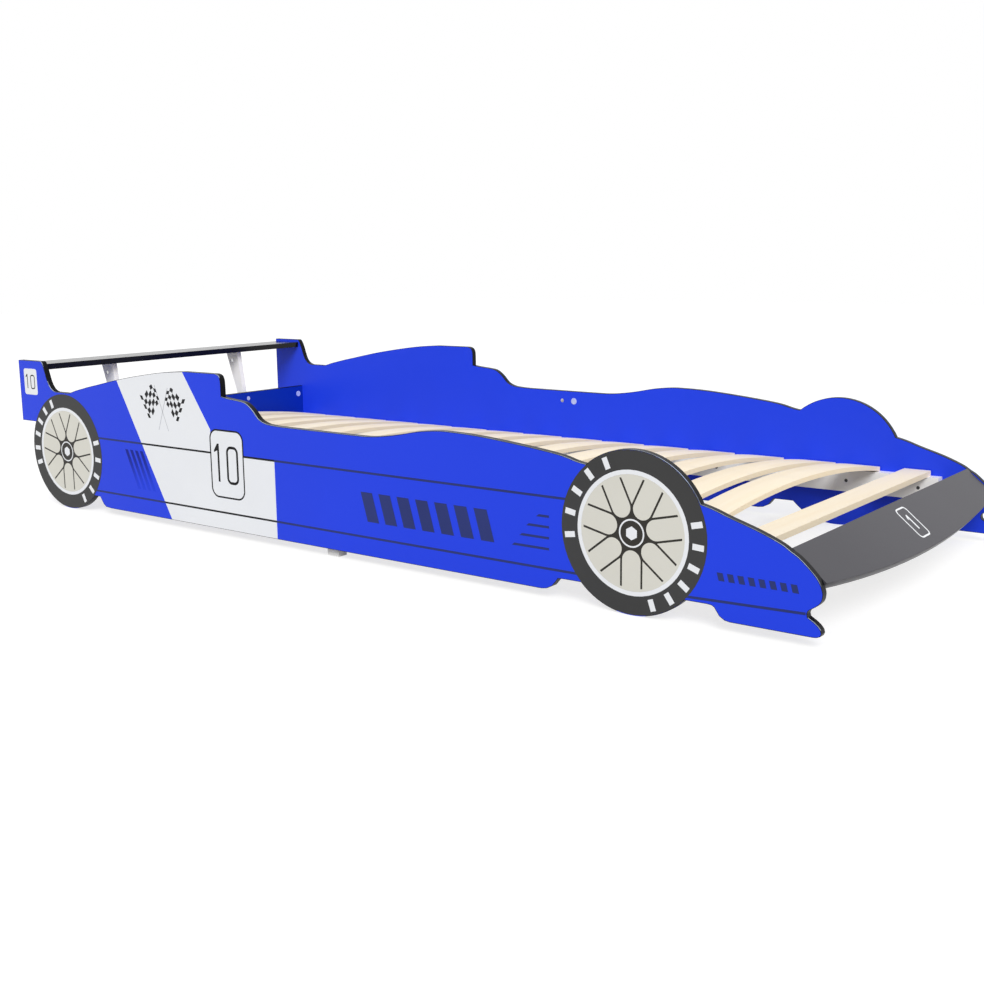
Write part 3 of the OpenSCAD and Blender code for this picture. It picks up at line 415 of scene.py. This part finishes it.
def make_slat_wood():
    """Bent laminated wood: pale planed faces, and the lines of the plies on the edges."""
    made, t, shader = new_material("slat_wood", Specular_IOR_Level=0.35)
    grain = t.group(WOOD, Pale=tone(SLAT_FACE[0]), Dark=tone(SLAT_FACE[1]))
    axes = t.node("ShaderNodeSeparateXYZ", Vector=t.place()).outputs
    up = t.math("SUBTRACT", axes["Z"], SLAT_CENTRE_Z)
    reach = t.math("SQRT", t.math("ADD", t.math("MULTIPLY", axes["Y"], axes["Y"]),
                                  t.math("MULTIPLY", up, up)))
    ply = t.math("PINGPONG", t.math("SUBTRACT", reach, SLAT_BEND), PLY_T / 2)
    line = t.spread(ply, 0.15 * MM, 0.5 * MM, 1.0, 0.0)
    normal = t.tree.nodes.new("ShaderNodeNewGeometry").outputs["True Normal"]
    facing = t.node("ShaderNodeSeparateXYZ", Vector=normal).outputs["X"]
    edge = t.spread(t.math("ABSOLUTE", facing), 0.5, 0.9)
    side = t.mix(t.math("MULTIPLY", line, 0.6), tone(SLAT_EDGE[0]), tone(SLAT_EDGE[1]))
    t.put(shader["Base Color"], t.mix(t.math("MULTIPLY", edge, 0.8), grain["Color"], side))
    t.put(shader["Roughness"], t.spread(grain["Shade"], 0.0, 1.0, 0.5, 0.62))
    bumped(t, shader, grain["Height"], 0.3, 0.12 * MM)
    return made


def make_dowel_wood():
    """Bare beech of the dowels and pegs."""
    made, t, shader = new_material("dowel_wood", Specular_IOR_Level=0.3)
    grain = t.group(WOOD, Pale=tone(BEECH[0]), Dark=tone(BEECH[1]), Bands=160.0)
    t.put(shader["Base Color"], grain["Color"])
    t.put(shader["Roughness"], t.spread(grain["Shade"], 0.0, 1.0, 0.55, 0.7))
    bumped(t, shader, grain["Height"], 0.3, 0.1 * MM)
    return made


def make_zinc():
    """Zinc plated steel, brushed by tumbling."""
    made, t, shader = new_material("zinc", Metallic=1.0)
    grain = t.group(GRAIN, Grain=1800.0, Cloud=90.0)
    t.put(shader["Base Color"], t.mix(grain["Shade"], tone(ZINC[0]), tone(ZINC[1])))
    t.put(shader["Roughness"], t.spread(grain["Shade"], 0.0, 1.0, 0.28, 0.42))
    bumped(t, shader, grain["Height"], 0.2, 0.03 * MM)
    return made


MATERIALS = {
    "blue_board": foil("blue_foil", BLUE, 0.38, lighter=1.06, Specular_IOR_Level=0.2),
    # Headboard foil: the board's blue darkened as painted shade
    "painted_shade_blue": foil("painted_shade_blue_foil", PAINTED_SHADE_BLUE, 0.38, lighter=1.06, Specular_IOR_Level=0.2),
    "black_board": foil("black_foil", BLACK, 0.16, lighter=1.3, Specular_IOR_Level=0.2),
    "white_board": foil("white_foil", (0.92, 0.91, 0.90), 0.4, lighter=1.03, rub=(0.9, 0.3),
                        Specular_IOR_Level=0.3),
    "grey_board": foil("grey_foil", (0.056, 0.0545, 0.064), 0.34, rub=(1.6, 0.3),
                       Specular_IOR_Level=0.2),
    "black_edge_band": make_edge_band("edge_band", BLACK),
    "grey_edge_band": make_edge_band("nose_band", (0.06, 0.058, 0.064)),
    "slat_wood": make_slat_wood(),
    "dowel_wood": make_dowel_wood(),
    "zinc": make_zinc(),
    # Near black painted as the shade in the holes of the rail screws
    "bolt_black": foil("bolt_black", (0.02, 0.02, 0.022), 0.4),
    "cap_plastic": foil("cap_plastic", (0.45, 0.51, 0.83), 0.35, lighter=1.05),
    "tyre_print": ink("tyre_ink", (0.040, 0.040, 0.040), 0.45, 1.25),
    "rim_print": ink("rim_ink", (0.69, 0.675, 0.605), 0.42, 1.06),
    "spoke_print": ink("spoke_ink", (0.026, 0.024, 0.02), 0.42, 1.3),
    "white_print": ink("white_ink", (0.845, 0.86, 0.885), 0.4, 1.03),
    "navy_print": make_dark_print(),
}
FLAG_INK = ink("flag_ink", BLACK, 0.4, 1.4)
POLE_INK = ink("pole_ink", (0.42, 0.43, 0.46), 0.4, 1.15)

# Pieces that look darker in the photograph than the rest of their slot
# The headboard's darker blue is painted shade.
# The near black of the rail screws is painted shade in their holes.
LOOKS = {"rail_screws": "bolt_black", "headboard": "painted_shade_blue"}


def dress_nodes():
    """Gives each piece of the frame the look of its slot in the record, or the look that LOOKS names
    for it.
    """
    for row in frame["record"]["subparts"]:
        piece = nodes[row["node"]]
        piece.data.materials.clear()
        look = LOOKS.get(row["node"], row["material_slot"])
        piece.data.materials.append(MATERIALS[look])


def soften(names, width):
    """Rounds the corners of pieces by a small radius."""
    for name in names:
        piece = nodes[name]
        weld = piece.modifiers.new("weld", "WELD")
        weld.merge_threshold = WELD_DISTANCE
        bevel = piece.modifiers.new("round", "BEVEL")
        bevel.width = width
        bevel.segments = 3
        bevel.limit_method = "ANGLE"
        bevel.angle_limit = math.radians(ROUND_FROM_ANGLE)
        bevel.harden_normals = True


def flag_point(corners, u, v):
    """Point of a waving flag, u along its fly and v down its pole."""
    head, foot, fly_head, fly_foot = (Vector(c) for c in corners)
    near = head.lerp(foot, v)
    far = fly_head.lerp(fly_foot, v)
    point = near.lerp(far, u)
    lift = (head - foot).length * FLAG_WAVE * math.sin(2 * math.pi * u)
    return point + Vector((0, lift))


def add_film(name, side, outlines, ink_material):
    """Thin print on the outer face of one panel, from outlines in millimetres."""
    y = side * (FILM_FACE + FILM_LIFT)
    points, faces = [], []
    for outline in outlines:
        area = sum(a[0] * b[1] - b[0] * a[1] for a, b in zip(outline, outline[1:] + outline[:1]))
        turned = outline if (area > 0) == (side < 0) else outline[::-1]
        faces.append(range(len(points), len(points) + len(turned)))
        points += [(p[0] * MM, y, p[1] * MM) for p in turned]
    mesh = bpy.data.meshes.new(name)
    mesh.from_pydata(points, [], [tuple(f) for f in faces])
    mesh.materials.append(ink_material)
    piece = bpy.data.objects.new(name, mesh)
    bpy.context.scene.collection.objects.link(piece)
    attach(piece, "root")
    return piece


def flag_cells(corners):
    """Outlines of the dark cells of one flag."""
    for i in range(FLAG_COLUMNS):
        for j in range(FLAG_ROWS):
            if (i + j) % 2 == 0:
                continue
            steps = [k / CELL_STEPS for k in range(CELL_STEPS + 1)]
            top = [flag_point(corners, (i + s) / FLAG_COLUMNS, j / FLAG_ROWS) for s in steps]
            low = [flag_point(corners, (i + s) / FLAG_COLUMNS, (j + 1) / FLAG_ROWS) for s in steps]
            yield [tuple(p) for p in top + low[::-1]]


def pole_outline(foot, head):
    """Thin strip from the foot of a pole to its head."""
    a, b = Vector(foot), Vector(head)
    half = (b - a).normalized().orthogonal() * POLE_W / 2
    return [tuple(a - half), tuple(a + half), tuple(b + half), tuple(b - half)]


def add_flags():
    """Crossed flags with their poles on the outer faces of both panels."""
    for side, word in ((-1, "right"), (1, "left")):
        cells = [c for corners in FLAGS.values() for c in flag_cells(corners)]
        add_film("flags_" + word, side, cells, FLAG_INK)
        poles = [pole_outline(POLE_FEET[k], FLAGS[k][0]) for k in FLAGS]
        add_film("flag_poles_" + word, side, poles, POLE_INK)


def add_floor():
    """Pale floor with the shadow of the bed, lifted to white for the camera."""
    mesh = bpy.data.meshes.new("floor")
    corners = [(x * FLOOR_HALF, y * FLOOR_HALF, 0) for x, y in ((-1, -1), (1, -1), (1, 1), (-1, 1))]
    mesh.from_pydata(corners, [], [(0, 1, 2, 3)])
    floor = bpy.data.objects.new("floor", mesh)
    bpy.context.scene.collection.objects.link(floor)
    made, t, shader = new_material("floor_paint", Roughness=1.0, Specular_IOR_Level=0.0,
                                   Emission_Color=(1, 1, 1, 1))
    t.put(shader["Base Color"], t.mix(t.noise(t.place(), 1.5), tone(FLOOR_PAINT, 0.98),
                                       tone(FLOOR_PAINT, 1.02)))
    seen = t.tree.nodes.new("ShaderNodeLightPath").outputs
    shown = t.math("MAXIMUM", seen["Is Camera Ray"], seen["Is Glossy Ray"])
    t.put(shader["Emission Strength"], t.math("MULTIPLY", shown, FLOOR_GLOW))
    mesh.materials.append(made)


def add_lamp(name, towards, strength, softness):
    """Far soft lamp that shines from a direction, its width given in degrees."""
    lamp = bpy.data.lights.new(name, "SUN")
    lamp.energy = strength
    lamp.angle = math.radians(softness)
    piece = bpy.data.objects.new(name, lamp)
    piece.location = Vector(towards) * LAMP_DISTANCE
    piece.rotation_mode = "QUATERNION"
    piece.rotation_quaternion = Vector(towards).to_track_quat("Z", "Y")
    bpy.context.scene.collection.objects.link(piece)


def add_world():
    """Even white world: plain white to the camera and to mirrors, softer as a light."""
    world = bpy.data.worlds.new("studio")
    world.use_nodes = True
    world.node_tree.nodes.clear()
    t = Tree(world.node_tree)
    seen = t.tree.nodes.new("ShaderNodeLightPath").outputs
    shown = t.math("MAXIMUM", seen["Is Camera Ray"],
                   t.math("MAXIMUM", seen["Is Glossy Ray"], seen["Is Transmission Ray"]))
    strength = t.spread(shown, 0.0, 1.0, WORLD_LIGHT, 1.0)
    back = t.node("ShaderNodeBackground", Color=(1, 1, 1, 1), Strength=strength)
    out = t.tree.nodes.new("ShaderNodeOutputWorld")
    t.tree.links.new(back.outputs[0], out.inputs["Surface"])
    bpy.context.scene.world = world


def add_camera():
    """Camera with the place, turn, lens and shifted axis of the photograph."""
    lens = bpy.data.cameras.new("camera")
    lens.sensor_width = SENSOR_MM
    lens.lens = FOCAL_PX / IMAGE_SIDE * lens.sensor_width
    lens.shift_x = 0.5 - AXIS_PX[0] / IMAGE_SIDE
    lens.shift_y = AXIS_PX[1] / IMAGE_SIDE - 0.5
    camera = bpy.data.objects.new("camera", lens)
    azimuth = math.radians(CAMERA_AZIMUTH)
    elevation = math.radians(CAMERA_ELEVATION)
    roll = math.radians(CAMERA_ROLL)
    back = Vector((math.sin(azimuth) * math.cos(elevation), -math.cos(azimuth) * math.cos(elevation),
                   math.sin(elevation)))
    right = Vector((math.cos(azimuth), math.sin(azimuth), 0))
    up = back.cross(right)
    turned_right = math.cos(roll) * right + math.sin(roll) * up
    turned_up = -math.sin(roll) * right + math.cos(roll) * up
    turn = Matrix((turned_right, turned_up, back)).transposed().to_4x4()
    camera.matrix_world = Matrix.Translation(CAMERA_PLACE) @ turn
    bpy.context.scene.collection.objects.link(camera)
    bpy.context.scene.camera = camera


dress_nodes()
soften([n for n in nodes if n.startswith("slat_") and n != "slat_pegs"] + ["front_slat"], SLAT_ROUND)
soften(["headboard_edging", "nose_edging"], BAND_ROUND)
add_flags()
add_floor()
add_world()
add_lamp("key", KEY_TOWARDS, KEY_STRENGTH, KEY_WIDTH)
add_camera()
bpy.context.scene.view_settings.view_transform = "Standard"
